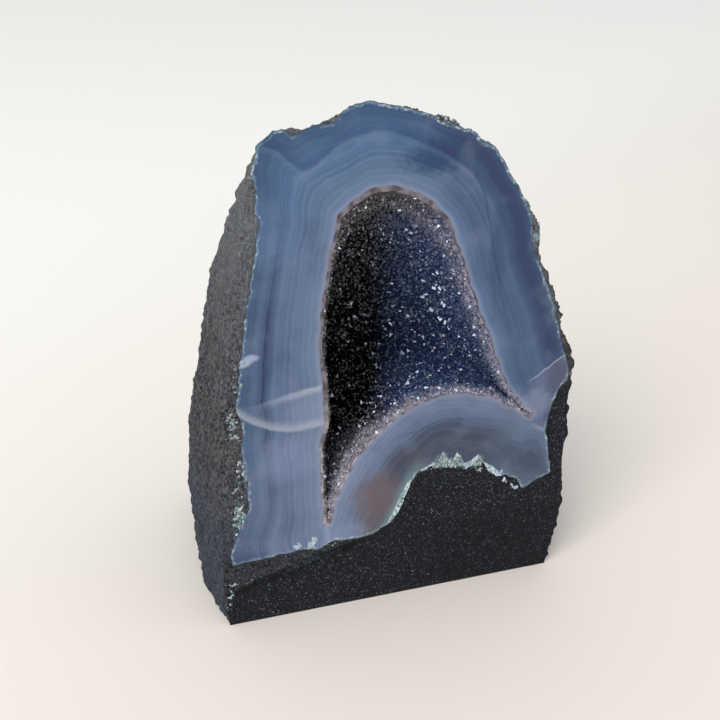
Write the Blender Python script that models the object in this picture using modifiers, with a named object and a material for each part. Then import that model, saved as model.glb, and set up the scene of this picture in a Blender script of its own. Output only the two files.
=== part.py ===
"""Amethyst cathedral geode: a cut-base slice of a gas bubble in basalt.

Three layers grew in each other: the rough basalt coat, the banded agate lining and the crust of
quartz crystals in the hollow. The front is sawn flat and polished, the base is sawn flat, and the
back is the natural outside of the bubble. Units are metres, +Z is up and the cut face looks to -Y.
"""
import math
import random

import bmesh
import bpy
from mathutils import Matrix, Vector, noise
from mathutils.bvhtree import BVHTree

MM = 0.001
SEED = 47

# Driving dimensions, in millimetres: depths run back from the cut face
HEIGHT = 140.4
FACE_CENTRE_X = 49.0
ROCK_DEPTH = 75.0
AGATE_DEPTH = 69.0
HOLLOW_DEPTH = 48.0
CAVITY_DEPTH = 44.5
RIM_DEPTH = 5.0
SAW_OVERRUN = 3.0
GAP = 0.3

# How the layers close towards the back: the power of a superellipse, across and up
ROCK_ROUNDING = (9.0, 1.5)
AGATE_ROUNDING = (4.0, 1.5)
HOLLOW_ROUNDING = (2.5, 1.6)
ROCK_BACK_ANGLE = math.radians(78)
LINING_BACK_ANGLE = math.radians(66)
LAYER_RINGS = 7
SIDE_BULGE = 0.09
RIM_INSET = 0.03
AGATE_SILL_HEIGHT = 20.0
AGATE_SKIN_GROWTH = 0.035
SKIN_GROWTH_DEPTH = 8.0
HOLLOW_CENTRE_HEIGHT = 54.0
SMOOTHING_PER_MM = 0.7

# The even cells that the rock and the crust are faceted from, turned out of line with both saw cuts
ROCK_CELL = 1.5
ROCK_KEPT_SHARE = 0.038
CRYSTAL_CELL = 4.15
CELL_TURN = Matrix.Rotation(math.radians(33), 4, (1.0, 0.6, 0.3))
SHARPEST = 1.8
JOIN_DISTANCE = 1e-7

# Relief of the natural outside, as (height, width of a lump)
BROAD_LUMPS = (1.8, 30.0)
SMALL_LUMPS = (0.8, 8.0)
RELIEF_BIAS = 0.15
RELIEF_FADE_DEPTH = 18.0
RELIEF_START = Vector((3.1, 1.7, 5.3))

# Crystals of the crust
CRYSTAL_ROOT = 0.9
CRYSTAL_HEIGHT = (0.9, 2.2)
CRYSTAL_ROOM_SHARE = 0.22
CRYSTAL_LEAN = 0.2
CRYSTAL_JITTER = 0.45
RAY_START = 0.5

# Outlines on the cut face, in millimetres: across from its left lower corner, and up
ROCK_OUTLINE = [
    (0.5, -1), (0, -14), (-1, -28), (-1, -42), (0, -56), (16, -70), (38, -74), (60, -74),
    (80, -70), (95, -56), (96, -42), (96, -28), (95.5, -14), (95.2, 0), (96.0, 4.7), (96.8, 9),
    (98.4, 13), (98.8, 18),
    (98.3, 27), (98.1, 42), (98.3, 55), (98.9, 65), (96.6, 70.5), (94.2, 77), (91.6, 84.5),
    (89.0, 91.5), (86.4, 96.2), (84.5, 99.4), (85.6, 101.6), (86.0, 104.2), (84.3, 108),
    (81.6, 112), (78.4, 116), (75.9, 120), (74.0, 124), (71.6, 127.2), (67.4, 130.7),
    (62.0, 133.9), (57.5, 136), (54.5, 136.5), (52.4, 136.6), (51.2, 138.8), (50.0, 139.1),
    (48.6, 138.2), (45.4, 139.3), (40.6, 140.4), (37.2, 140.1), (34.4, 139.2), (32.4, 136.9),
    (29.0, 136.0), (25.0, 135.0), (21.6, 135.1), (19.4, 136.0), (17.2, 135.2), (14.4, 132.4),
    (12.3, 128.5), (11.0, 121.5), (9.9, 112.5), (8.6, 103.5), (7.3, 95), (5.7, 87), (4.7, 79.5),
    (3.1, 69.5), (1.4, 55.6), (0.5, 41), (0.1, 28), (0.7, 12),
]
AGATE_OUTLINE = [
    (2.6, 19.6), (1.9, 23.2), (2.8, 26.6), (5.6, 32.2), (7.2, 37), (7.3, 45), (6.2, 52), (6.7, 60),
    (5.6, 66), (6.3, 71), (6.7, 77), (8.0, 85), (9.6, 95), (11.4, 105), (13.8, 112.6),
    (12.9, 117), (13.6, 121), (12.5, 125), (14.0, 130.4), (17.9, 134.2), (21.0, 133.9),
    (22.6, 132.6), (24.6, 133.8), (31.8, 134.9), (34.3, 137), (37.0, 138.4), (40.6, 138.9),
    (46, 137.6), (51, 136.3), (57.6, 133.4), (65.6, 129.8), (71.2, 125.8), (74.6, 120.6),
    (80.4, 112), (82.8, 107.4), (83.4, 103.8), (83.5, 100.2), (85.8, 95.4), (90.4, 84.6),
    (93.4, 75), (95.4, 69), (97.0, 63.6), (96.8, 60.8), (94.8, 58.8), (93.2, 55), (92.0, 49),
    (91.4, 46), (92.4, 41), (94.0, 32), (90.4, 30.2), (85.6, 27.8), (83.2, 31.6), (80.2, 33.8),
    (77.3, 33.4), (74.4, 36.5), (71.9, 40.9), (69.6, 38.4), (68.0, 37.6), (65.8, 42.2),
    (63.2, 40.6), (60.8, 44.2), (59.4, 41), (54.1, 39.4), (51.8, 36), (50.0, 30.2), (47, 25.6),
    (43.2, 22.6), (36.5, 21.3), (31, 22), (26.3, 20.3), (20, 20.8), (12, 20.2), (7, 20.3),
]
HOLLOW_OUTLINE = [
    (27.3, 27.2), (27.2, 33), (26.9, 42), (26.7, 52.5), (27.8, 58.5), (28.0, 66), (27.2, 75.5),
    (27.3, 83), (28.0, 93), (29.5, 100.5), (30.8, 109), (32.4, 114), (36.0, 117), (41.2, 119.5),
    (45.8, 119.8), (51.4, 117.5), (56.6, 114.6), (60.2, 110.2), (63.5, 103), (66.2, 94.5),
    (69.4, 86), (73.0, 77.4), (76.4, 68.2), (79.4, 61.4), (83.5, 55.6), (87.2, 52.2),
    (86.6, 50.0), (81.6, 54.2), (77.0, 57.2), (72.6, 59.4), (67, 61.2), (60.6, 61.7),
    (54.1, 60.4), (48, 56.8), (41.8, 52), (37.0, 46.6), (33.4, 40.4), (30.9, 33.6), (29.4, 27.4),
]
CAVITY_OUTLINE = [
    (29.9, 36), (28.9, 42), (28.8, 47), (28.9, 53), (30.0, 59), (30.4, 67), (29.7, 76), (29.9, 84),
    (30.6, 93), (32.2, 101), (33.4, 108), (35.4, 112.4), (39, 115.2), (43.8, 117.2), (49.6, 115.6),
    (54.6, 112.9), (58.2, 108.6), (61.2, 101.8), (63.9, 93.2), (67.0, 85), (70.6, 76.4),
    (73.9, 67.6), (75.4, 62.2), (72.6, 62.2), (66.8, 63.6), (60.0, 64.2), (52.8, 62.7),
    (46.2, 58.8), (40.2, 53.4), (35.4, 47.2), (32.4, 41), (31.0, 36.4),
]

# Saw-kerf groove under the ledge at the lower left of the face, as points on the face
GROOVE_ROUTE = [(8, 12.4), (14, 13.4), (20, 15), (26, 16.9), (30.5, 17.3), (35, 19)]
GROOVE_WIDTH = 1.7
GROOVE_DEPTH = 1.3
GROOVE_FLOOR_SHARE = 0.7
GROOVE_END_SHARE = 0.4
GROOVE_MOUTH = -1.0

# Ledge lumps that stand proud of the face under the agate: across, up, radius
LEDGE_LUMPS = [(5.8, 17.6, 2.1), (13.2, 17.9, 2.3), (20.6, 18.9, 2.1), (29.3, 19.9, 2.6), (84.5, 23.5, 2.4)]
LEDGE_PROUD = 0.6
LEDGE_STRETCH = (1.5, 0.5, 0.8)

# Gas-bubble pits on the natural outside
PIT_COUNT = 10
PIT_RADIUS = (2.2, 4.0)
PIT_SPACING = 12.0
PIT_LEAST_DEPTH = 9.0
PIT_LEAST_HEIGHT = 30.0
PIT_OPENNESS = 0.55
PIT_STRETCH = (1.0, 1.5)

# Each layer's colour, roughness, and the edge angle in degrees past which its shading breaks
BASALT = ((0.030, 0.030, 0.032, 1.0), 0.85, 32)
AGATE = ((0.180, 0.250, 0.370, 1.0), 0.12, 35)
AMETHYST = ((0.045, 0.040, 0.070, 1.0), 0.15, 0)


def start_clean():
    """Remove whatever the open scene holds."""
    for item in list(bpy.data.objects):
        bpy.data.objects.remove(item, do_unlink=True)


def new_collection(name):
    """Make a collection under the scene's own."""
    group = bpy.data.collections.new(name)
    bpy.context.scene.collection.children.link(group)
    return group


def new_material(name, look):
    """Make a plain Principled material from a layer's colour and roughness."""
    colour, roughness, _ = look
    material = bpy.data.materials.new(name)
    material.use_nodes = True
    shader = material.node_tree.nodes["Principled BSDF"]
    shader.inputs["Base Color"].default_value = colour
    shader.inputs["Roughness"].default_value = roughness
    shader.inputs["Metallic"].default_value = 0.0
    material.diffuse_color = colour
    return material


def relaxed(outline, passes):
    """Even out the small bumps of an outline by averaging each point with its neighbours."""
    points = [Vector(spot) for spot in outline]
    count = len(points)
    for _ in range(passes):
        points = [(points[k - 1] + 2 * points[k] + points[(k + 1) % count]) / 4 for k in range(count)]
    return points


def closing(depth, full_depth, power):
    """How much of its front width a layer still has at a depth behind the face."""
    share = min(max(depth, 0.0) / full_depth, 1.0)
    return (1.0 - share ** power) ** (1.0 / power)


def rock_ring(point, depth):
    """Where a point of the rock's outline has moved to at a depth."""
    across = closing(depth, ROCK_DEPTH, ROCK_ROUNDING[0])
    up = closing(depth, ROCK_DEPTH, ROCK_ROUNDING[1])
    bulge = 1.0 + SIDE_BULGE * math.sin(math.pi * min(max(depth, 0.0) / ROCK_DEPTH, 1.0)) ** 2
    return FACE_CENTRE_X + (point.x - FACE_CENTRE_X) * across * bulge, point.y * up


def rim_ring(point, depth):
    """The rock's outline just behind the face, tucked a little into the rock as it goes back."""
    x, z = rock_ring(point, depth)
    inset = 1.0 - RIM_INSET * depth / RIM_DEPTH
    return FACE_CENTRE_X + (x - FACE_CENTRE_X) * inset, z * inset


def agate_ring(point, depth):
    """Where a point of the agate's outer outline has moved to at a depth."""
    across = closing(depth, AGATE_DEPTH, AGATE_ROUNDING[0])
    top = HEIGHT * closing(depth, AGATE_DEPTH, AGATE_ROUNDING[1])
    up = (top - AGATE_SILL_HEIGHT) / (HEIGHT - AGATE_SILL_HEIGHT)
    inset = 1.0 - AGATE_SKIN_GROWTH * min(max(depth, 0.0) / SKIN_GROWTH_DEPTH, 1.0)
    return (
        FACE_CENTRE_X + (point.x - FACE_CENTRE_X) * across * inset,
        AGATE_SILL_HEIGHT + (point.y - AGATE_SILL_HEIGHT) * up * inset,
    )


def hollow_ring(point, depth, full_depth=HOLLOW_DEPTH):
    """Where a point of the hollow's outline has moved to at a depth."""
    across = closing(depth, full_depth, HOLLOW_ROUNDING[0])
    up = closing(depth, full_depth, HOLLOW_ROUNDING[1])
    return (
        FACE_CENTRE_X + (point.x - FACE_CENTRE_X) * across,
        HOLLOW_CENTRE_HEIGHT + (point.y - HOLLOW_CENTRE_HEIGHT) * up,
    )


def cavity_ring(point, depth):
    """Where a point of the open space inside the crystals has moved to at a depth."""
    return hollow_ring(point, depth, CAVITY_DEPTH)


def ring_depths(full_depth, overrun=0.0, back_angle=LINING_BACK_ANGLE):
    """Depths of the rings, closer together towards the back; an overrun starts before the face."""
    depths = [full_depth * math.sin(back_angle * k / LAYER_RINGS) for k in range(LAYER_RINGS + 1)]
    if overrun:
        depths.insert(0, -overrun)
    return depths


def loft(outline, depths, place):
    """Bridge rings of one outline into a closed form that runs back from the face."""
    form = bmesh.new()
    last_loop = None
    for depth in depths:
        corners = []
        for point in relaxed(outline, round(max(depth, 0.0) * SMOOTHING_PER_MM)):
            x, z = place(point, depth)
            corners.append(form.verts.new((x * MM, depth * MM, z * MM)))
        loop = [form.edges.new((corners[k - 1], corners[k])) for k in range(len(corners))]
        if last_loop is None:
            bmesh.ops.edgeloop_fill(form, edges=loop)
        else:
            bmesh.ops.bridge_loops(form, edges=last_loop + loop)
        last_loop = loop
    bmesh.ops.edgeloop_fill(form, edges=last_loop)
    bmesh.ops.triangulate(form, faces=form.faces)
    bmesh.ops.recalc_face_normals(form, faces=form.faces)
    return form


def even_cells(form, cell, kept_share=1.0):
    """Rebuild a closed form from cells of one size, and thin them out where it is flat."""
    form.transform(CELL_TURN)
    holder = make_object("cells", form, bpy.context.scene.collection)
    remesh = holder.modifiers.new("Even cells", "REMESH")
    remesh.mode = "VOXEL"
    remesh.voxel_size = cell * MM
    if kept_share < 1.0:
        thinning = holder.modifiers.new("Fewer on the flat", "DECIMATE")
        thinning.ratio = kept_share
    result = bmesh.new()
    result.from_object(holder, bpy.context.evaluated_depsgraph_get())
    bpy.data.objects.remove(holder, do_unlink=True)
    result.transform(CELL_TURN.inverted())
    return result


def fatten(form, distance):
    """Move every point of a closed form out along its normal, or in where the distance is negative."""
    form.normal_update()
    moves = [(vert, vert.normal * min(vert.calc_shell_factor(), SHARPEST)) for vert in form.verts]
    for vert, normal in moves:
        vert.co += normal * distance * MM


def cut_flat(form, spot, normal):
    """Saw a closed form along a plane and close the cut."""
    everything = form.verts[:] + form.edges[:] + form.faces[:]
    cut = bmesh.ops.bisect_plane(
        form, geom=everything, dist=JOIN_DISTANCE, plane_co=spot, plane_no=normal, clear_outer=True
    )
    rim = [item for item in cut["geom_cut"] if isinstance(item, bmesh.types.BMEdge)]
    bmesh.ops.edgeloop_fill(form, edges=rim)
    bmesh.ops.recalc_face_normals(form, faces=form.faces)


def roughen(form):
    """Give the natural outside broad and small lumps that fade out at the sawn face."""
    form.normal_update()
    moves = [(vert, vert.normal.copy()) for vert in form.verts]
    for vert, normal in moves:
        fade = min(max(vert.co.y / MM, 0.0) / RELIEF_FADE_DEPTH, 1.0)
        height = 0.0
        for amount, width in (BROAD_LUMPS, SMALL_LUMPS):
            height += amount * (RELIEF_BIAS + noise.noise(vert.co / (width * MM) + RELIEF_START))
        vert.co += normal * height * fade * MM


def make_object(name, form, group, material=None):
    """Turn a finished form into an object in its collection."""
    mesh = bpy.data.meshes.new(name)
    form.to_mesh(mesh)
    form.free()
    piece = bpy.data.objects.new(name, mesh)
    if material:
        mesh.materials.append(material)
    group.objects.link(piece)
    return piece


def as_cutter(piece):
    """Keep a helper out of the finished model."""
    piece.hide_render = True
    piece.display_type = "WIRE"
    return piece


def combine(piece, other, operation, overlaps=False):
    """Join another form to a piece, or cut it away; overlaps says that the other crosses itself."""
    step = piece.modifiers.new(operation.title() + " " + other.name, "BOOLEAN")
    step.operation = operation
    step.solver = "EXACT"
    step.use_self = overlaps
    step.object = other


def shade(piece, look):
    """Shade a piece smooth but keep edges sharper than the layer's angle."""
    piece.data.shade_smooth()
    piece.data.set_sharp_from_angle(angle=math.radians(look[2]))


def blob(form, centre, radius, stretch, turn):
    """Add one stretched ball to a form."""
    placed = Matrix.Translation(Vector(centre) * MM) @ turn @ Matrix.Diagonal((*stretch, 1.0))
    bmesh.ops.create_icosphere(form, subdivisions=1, radius=radius * MM, matrix=placed)


def groove_form():
    """The dark groove under the ledge: a chain of sections that narrows towards both ends."""
    form = bmesh.new()
    last_loop = None
    route = [Vector((x, 0.0, z)) for x, z in GROOVE_ROUTE]
    for index, spot in enumerate(route):
        along = (route[min(index + 1, len(route) - 1)] - route[max(index - 1, 0)]).normalized()
        up = Vector((-along.z, 0.0, along.x))
        middle_share = math.sin(math.pi * index / (len(route) - 1))
        taper = GROOVE_END_SHARE + (1.0 - GROOVE_END_SHARE) * middle_share
        half_mouth = GROOVE_WIDTH / 2 * taper
        half_floor = half_mouth * GROOVE_FLOOR_SHARE
        floor = GROOVE_DEPTH * taper
        mouth = [(-half_mouth, GROOVE_MOUTH), (half_mouth, GROOVE_MOUTH)]
        section = mouth + [(half_floor, floor), (-half_floor, floor)]
        corners = [form.verts.new((spot + up * side + Vector((0.0, y, 0.0))) * MM) for side, y in section]
        loop = [form.edges.new((corners[k - 1], corners[k])) for k in range(len(corners))]
        if last_loop is None:
            bmesh.ops.edgeloop_fill(form, edges=loop)
        else:
            bmesh.ops.bridge_loops(form, edges=last_loop + loop)
        last_loop = loop
    bmesh.ops.edgeloop_fill(form, edges=last_loop)
    bmesh.ops.recalc_face_normals(form, faces=form.faces)
    return form


def pits_form(skin, chance):
    """Gas-bubble pits, set on points of the natural outside well behind the face."""
    spots = [
        vert for vert in skin if vert[0].y > PIT_LEAST_DEPTH * MM and vert[0].z > PIT_LEAST_HEIGHT * MM
    ]
    form = bmesh.new()
    chosen = []
    while len(chosen) < PIT_COUNT:
        spot, normal = chance.choice(spots)
        if all((spot - other).length > PIT_SPACING * MM for other in chosen):
            chosen.append(spot)
            radius = chance.uniform(*PIT_RADIUS)
            centre = spot / MM + normal * radius * PIT_OPENNESS
            turn = Matrix.Rotation(chance.uniform(0, math.pi), 4, "Y")
            blob(form, centre, radius, (1.0, 1.0, chance.uniform(*PIT_STRETCH)), turn)
    return form


def build_rock(group, cutters, material, chance):
    """The basalt coat: natural outside, sawn base and face, and the pocket that holds the agate."""
    depths = ring_depths(ROCK_DEPTH, SAW_OVERRUN * 2, ROCK_BACK_ANGLE)
    form = loft(ROCK_OUTLINE, depths, rock_ring)
    form = even_cells(form, ROCK_CELL)
    roughen(form)
    form = even_cells(form, ROCK_CELL, ROCK_KEPT_SHARE)
    form.normal_update()
    skin = [(vert.co.copy(), vert.normal.copy()) for vert in form.verts]
    cut_flat(form, (0, 0, 0), (0, 0, -1))
    cut_flat(form, (0, 0, 0), (0, -1, 0))
    rock = make_object("basalt_matrix", form, group, material)

    rim = loft(ROCK_OUTLINE, (0.0, RIM_DEPTH), rim_ring)
    cut_flat(rim, (0, 0, 0), (0, 0, -1))
    combine(rock, as_cutter(make_object("sawn_rim", rim, cutters)), "UNION")
    ledge = bmesh.new()
    for x, z, radius in LEDGE_LUMPS:
        centre = (x, radius * LEDGE_STRETCH[1] - LEDGE_PROUD, z)
        blob(ledge, centre, radius, LEDGE_STRETCH, Matrix.Identity(4))
    combine(rock, as_cutter(make_object("ledge_lumps", ledge, cutters)), "UNION")
    combine(rock, as_cutter(make_object("groove", groove_form(), cutters)), "DIFFERENCE")
    combine(rock, as_cutter(make_object("gas_pits", pits_form(skin, chance), cutters)), "DIFFERENCE")

    depths = ring_depths(AGATE_DEPTH, SAW_OVERRUN)
    pocket = loft(AGATE_OUTLINE, depths, agate_ring)
    fatten(pocket, GAP)
    combine(rock, as_cutter(make_object("agate_pocket", pocket, cutters)), "DIFFERENCE")
    shade(rock, BASALT)
    return rock


def build_agate(group, cutters, material):
    """The agate lining with its polished face and the hollow."""
    form = loft(AGATE_OUTLINE, ring_depths(AGATE_DEPTH), agate_ring)
    agate = make_object("agate_wall", form, group, material)
    depths = ring_depths(HOLLOW_DEPTH, SAW_OVERRUN)
    hollow = loft(HOLLOW_OUTLINE, depths, hollow_ring)
    combine(agate, as_cutter(make_object("hollow", hollow, cutters)), "DIFFERENCE")
    shade(agate, AGATE)
    return agate


def crystal_cavity(chance):
    """The open space inside the crust: each cell of its wall is dented by one pointed crystal."""
    depths = ring_depths(CAVITY_DEPTH, SAW_OVERRUN * 2)
    form = loft(CAVITY_OUTLINE, depths, cavity_ring)
    fatten(form, CRYSTAL_ROOT)
    form = even_cells(form, CRYSTAL_CELL)
    for vert in form.verts:
        vert.co += Vector([chance.uniform(-1, 1) * CRYSTAL_JITTER * MM for _ in range(3)])
    form.normal_update()
    wall = BVHTree.FromBMesh(form)
    for cell in form.faces[:]:
        middle = cell.calc_center_median()
        inward = -cell.normal
        opposite = wall.ray_cast(middle + inward * RAY_START * MM, inward)[3]
        room = opposite / MM if opposite else CRYSTAL_CELL
        height = min(chance.uniform(*CRYSTAL_HEIGHT), room * CRYSTAL_ROOM_SHARE)
        tip = bmesh.ops.poke(form, faces=[cell], offset=0.0)["verts"][0]
        lean = Vector([chance.uniform(-1, 1) * CRYSTAL_LEAN * height for _ in range(3)])
        tip.co += (lean + inward * height) * MM
    bmesh.ops.recalc_face_normals(form, faces=form.faces)
    return form


def build_druse(group, cutters, material, chance):
    """One crust of crystals that lines the hollow."""
    depths = ring_depths(HOLLOW_DEPTH, SAW_OVERRUN)
    form = loft(HOLLOW_OUTLINE, depths, hollow_ring)
    fatten(form, -GAP)
    cut_flat(form, (0, 0, 0), (0, -1, 0))
    druse = make_object("amethyst_druse", form, group, material)
    cavity = as_cutter(make_object("crystal_cavity", crystal_cavity(chance), cutters))
    combine(druse, cavity, "DIFFERENCE", overlaps=True)
    shade(druse, AMETHYST)
    return druse


def centre_on_base(pieces, cutters):
    """Move everything so that the middle of the finished stone's base is the origin."""
    finished = pieces[0].evaluated_get(bpy.context.evaluated_depsgraph_get()).data
    xs = [vert.co.x for vert in finished.vertices]
    ys = [vert.co.y for vert in finished.vertices]
    middle = Vector(((min(xs) + max(xs)) / 2, (min(ys) + max(ys)) / 2, 0.0))
    for piece in list(pieces) + list(cutters):
        piece.data.transform(Matrix.Translation(-middle))


def main():
    """Build the geode."""
    start_clean()
    chance = random.Random(SEED)
    group = new_collection("amethyst_cathedral_geode")
    cutters = new_collection("cutters")
    pieces = [
        build_rock(group, cutters, new_material("basalt", BASALT), chance),
        build_agate(group, cutters, new_material("agate", AGATE)),
        build_druse(group, cutters, new_material("amethyst", AMETHYST), chance),
    ]
    centre_on_base(pieces, cutters.objects)


main()
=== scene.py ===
"""Looks of the amethyst cathedral geode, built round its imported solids.

Sandy basalt outside, a polished agate face with its bands and healed cracks, and a crust of small
dark quartz crystals in the hollow. Lengths in the tables are millimetres; the face's own coordinates
run across from its left lower corner and up from the sawn base.
"""
import math
import random

import bmesh
import bpy
import numpy as np
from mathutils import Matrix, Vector, noise
from mathutils.bvhtree import BVHTree


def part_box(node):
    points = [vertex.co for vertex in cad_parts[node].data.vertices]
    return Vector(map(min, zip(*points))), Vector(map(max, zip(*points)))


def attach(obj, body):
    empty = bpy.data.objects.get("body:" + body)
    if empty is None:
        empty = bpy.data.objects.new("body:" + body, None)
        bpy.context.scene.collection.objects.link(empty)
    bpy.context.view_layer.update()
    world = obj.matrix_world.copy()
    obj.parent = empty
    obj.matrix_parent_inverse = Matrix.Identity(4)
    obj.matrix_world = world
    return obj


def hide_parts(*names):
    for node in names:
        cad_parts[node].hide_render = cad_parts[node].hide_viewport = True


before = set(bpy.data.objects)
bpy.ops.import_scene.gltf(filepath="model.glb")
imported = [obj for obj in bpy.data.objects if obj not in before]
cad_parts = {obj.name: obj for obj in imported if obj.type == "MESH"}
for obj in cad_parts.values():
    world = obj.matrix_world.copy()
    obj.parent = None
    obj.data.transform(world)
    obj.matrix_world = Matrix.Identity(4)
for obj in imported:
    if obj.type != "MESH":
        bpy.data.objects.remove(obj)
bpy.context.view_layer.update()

MM = 0.001
SEED = 11

# The cut face: its plane, and where the face coordinates start
AGATE_LEFT_INSET = 1.9
FACE_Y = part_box("agate_wall")[0].y
FACE_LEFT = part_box("agate_wall")[0].x - AGATE_LEFT_INSET * MM

# Making of the layers
MERGE_DISTANCE = 1e-6
PLANE_SLACK = 0.05
LAYER_REACH = 0.9
ROCK_GRAIN = 0.72
CAP_OVERRUN = 2.5
SMALL_HOLE = 12
FACE_GRID = 1.0

# How far, over what width and how deep the stone's own grain ruffles the sawn outlines
RUFFLES = [(0.5, 3.4), (0.3, 1.4)]
RUFFLE_DEPTH = 7.0

# The agate reaches further out at the top and top left: how far, and from what height
TOP_REACH = 1.3
TOP_START = (104.0, 122.0)
FACE_MIDDLE = (46.0, 84.0)

# Where the bands of the agate start and end: the sill and the right foot are sawn across them
SILL = (3.5, 45.2, 27.0)
RIGHT_FOOT = (84.5, 48.0)
LEFT_SEAM = [(27.9, 31.5), (28.1, 27.5), (28.6, 20.9), (28.8, 16.0)]
RIGHT_SEAM = [(86.8, 48.5), (93.0, 45.0)]
DOME_TOP = [(27.0, 31.0), (30.0, 45.0), (35.0, 55.0), (50.0, 62.0), (70.0, 62.0), (80.0, 56.0), (86.8, 48.6),
            (93.0, 45.0)]

# Lines in the agate
SCALLOP = [(0.0, 131.0), (17.7, 130.7), (21.0, 127.5), (24.5, 125.3), (28.1, 127.1), (31.7, 130.1),
           (37.7, 132.6), (44.9, 132.7), (51.1, 130.4), (61.3, 124.8), (67.9, 118.0), (71.4, 106.2),
           (75.1, 89.7), (79.0, 75.0), (100.0, 20.0)]
UPPER_CRACK = [(0.0, 66.6), (7.8, 66.5), (11.6, 66.9), (18.6, 68.2), (28.8, 69.8), (100.0, 78.0)]
LOWER_CRACK = [(0.0, 67.5), (6.0, 64.6), (8.0, 62.6), (11.0, 60.6), (14.5, 58.9), (18.0, 57.9), (22.0, 57.6),
               (27.7, 58.2), (100.0, 62.0)]
FRACTURE = [(0.0, 8.0), (80.0, 59.0), (87.2, 63.3), (95.3, 68.7), (100.0, 71.5)]
FROST = [(0.0, 0.0), (44.0, 22.0), (46.6, 26.9), (48.6, 31.5), (51.0, 36.6), (53.5, 39.0), (57.3, 41.0),
         (59.4, 41.3), (61.1, 44.6), (62.7, 41.2), (64.0, 40.8), (65.2, 43.7), (67.6, 39.6), (69.4, 40.2),
         (71.5, 41.8), (73.4, 38.9), (76.0, 37.2), (79.0, 34.0), (82.5, 30.0), (84.0, 26.0), (100.0, 5.0)]
LENS_LINE = [(0.0, 44.0), (48.7, 51.1), (54.3, 52.3), (60.0, 53.2), (65.7, 53.4), (70.0, 53.0), (80.0, 50.0),
             (100.0, 38.0)]
MOUND_TOP = [(0.0, 150.0), (57.0, 150.0), (58.0, 39.8), (62.0, 39.4), (66.0, 38.8), (70.0, 38.2), (73.0, 37.8),
             (74.0, 150.0), (100.0, 150.0)]
GROOVE_SHADE = [(0.0, 10.0), (9.0, 12.6), (17.8, 14.6), (26.0, 17.0), (34.4, 19.2), (100.0, 40.0)]
LINE_BOX = (100.0, 150.0)

# Local tints in the agate: middle, half sizes, strength and colour
TINTS = [
    (57.0, 125.8, 11.0, 5.4, 0.7, "30435F"),
    (50.0, 131.0, 7.0, 2.6, 0.35, "3A4F72"),
    (64.2, 124.0, 3.2, 6.0, 0.3, "6A7488"),
    (74.0, 100.0, 3.0, 16.0, 0.4, "3A4867"),
    (42.5, 33.5, 9.5, 10.0, 0.75, "6B6063"),
    (52.0, 44.0, 9.0, 5.0, 0.45, "54525C"),
    (4.0, 21.0, 9.0, 5.0, 0.5, "3A465E"),
    (24.0, 62.5, 8.0, 6.0, 0.3, "8D99B0"),
    (19.0, 50.0, 12.0, 8.0, 0.35, "8090AC"),
    (20.0, 100.0, 7.0, 22.0, 0.22, "6C7FA0"),
    (34.0, 22.5, 8.0, 6.0, 0.4, "8590A8"),
    (14.0, 112.0, 6.0, 12.0, 0.3, "6F84A6"),
    (7.0, 30.0, 6.0, 14.0, 0.35, "4A5872"),
    (8.0, 52.0, 4.0, 7.0, 0.4, "4A5B78"),
    (88.0, 55.0, 6.0, 6.0, 0.45, "8A97AC"),
    (93.5, 63.0, 4.5, 5.0, 0.6, "4A4650"),
    (79.5, 41.0, 7.5, 4.2, 0.35, "434C5C"),
    (86.5, 37.0, 6.5, 5.0, 0.5, "434C5C"),
    (7.6, 78.6, 2.8, 1.4, 0.85, "A9B4C4"),
    (10.0, 79.8, 2.4, 1.3, 0.85, "9DABC4"),
]

# What the polished face adds by its sheen to each channel, and the light that falls on it
SHEEN = -0.052
FACE_LIGHT = 1.04

# The basalt: lumps and grain (height, width), streaks down the sides, and single pits and grooves
LUMPS = [(0.5, 11.0), (0.35, 4.2), (0.4, 1.5)]
SIDE_SWELL = 0.5
STREAK = (1.15, 1.4, 4.6)
HOLES = (2.6, 0.36, 2.4)
SAWN_SHARE = 0.3
SAWN_INSET = 0.15
BASE_REST = 1.2
BED_FADE = 0.9
PITS = [(10.8, 122.0, 1.4), (10.9, 116.0, 1.7), (9.6, 111.2, 1.3), (8.1, 104.0, 1.6), (7.0, 91.5, 1.5)]
PIT_DEPTH = 1.3
GROOVE = [(9.0, 12.6), (17.8, 14.4), (26.0, 16.9), (29.7, 17.4), (34.4, 19.2)]
GROOVE_DEPTH = 0.9
GROOVE_WIDTH = 1.0
GROOVE_REACH = (40.0, 24.0)

# Worn edges: how many rounds of smoothing, and where (across, up, back from the face)
WEAR = [
    (26, lambda across, up, back: across < 9.5 and up > 21.0 and back < 5.0),
    (8, lambda across, up, back: across < 3.0 and up <= 21.0 and back < 4.0 and up > 0.2),
    (6, lambda across, up, back: across > 93.0 and back < 4.0 and up > 0.2),
    (5, lambda across, up, back: up > 125.0 and back < 5.0),
]

# The crust: its wall, its thickness at the cut and further in (sides, top), and the crystals on it
LINING_CELL = 0.75
LINING_SMOOTHING = 4
THICKNESS_AT_CUT = (0.7, 0.9)
THICKNESS_INSIDE = (1.5, 3.0)
THICKNESS_DEPTH = 3.2
RIM_STEP = 0.02
LEFT_THICKER = 0.6
RIGHT_THINNER = 0.3
HOLLOW_TOP = (100.0, 112.0)
NARROW_SHARE = 0.3
CRYSTAL_SPACING = 0.9
CRYSTAL_TRIES = 60000
CRYSTAL_WIDTH = (0.9, 1.9)
CRYSTAL_REACH = (0.45, 1.0)
CRYSTAL_LEAN = 0.6
CRYSTAL_SHOULDER = 0.3
CRYSTAL_SINK = 0.5
CRYSTAL_INSET = 0.3
CRYSTAL_CLEAR = 0.12
# Painted glints: facets get a random tone up to DULL_SPARK; a share of crystals, made larger, get the facet that faces
# TO_WINDOW painted bright
DULL_SPARK = 0.98
PAINTED_GLINT_SHARE = 0.035
LARGE_SHARE = 0.15
FINE_SHARE = 0.74
LARGE_CRYSTAL = 0.5
TO_WINDOW = Vector((-0.45, -0.7, 0.55))

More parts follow.
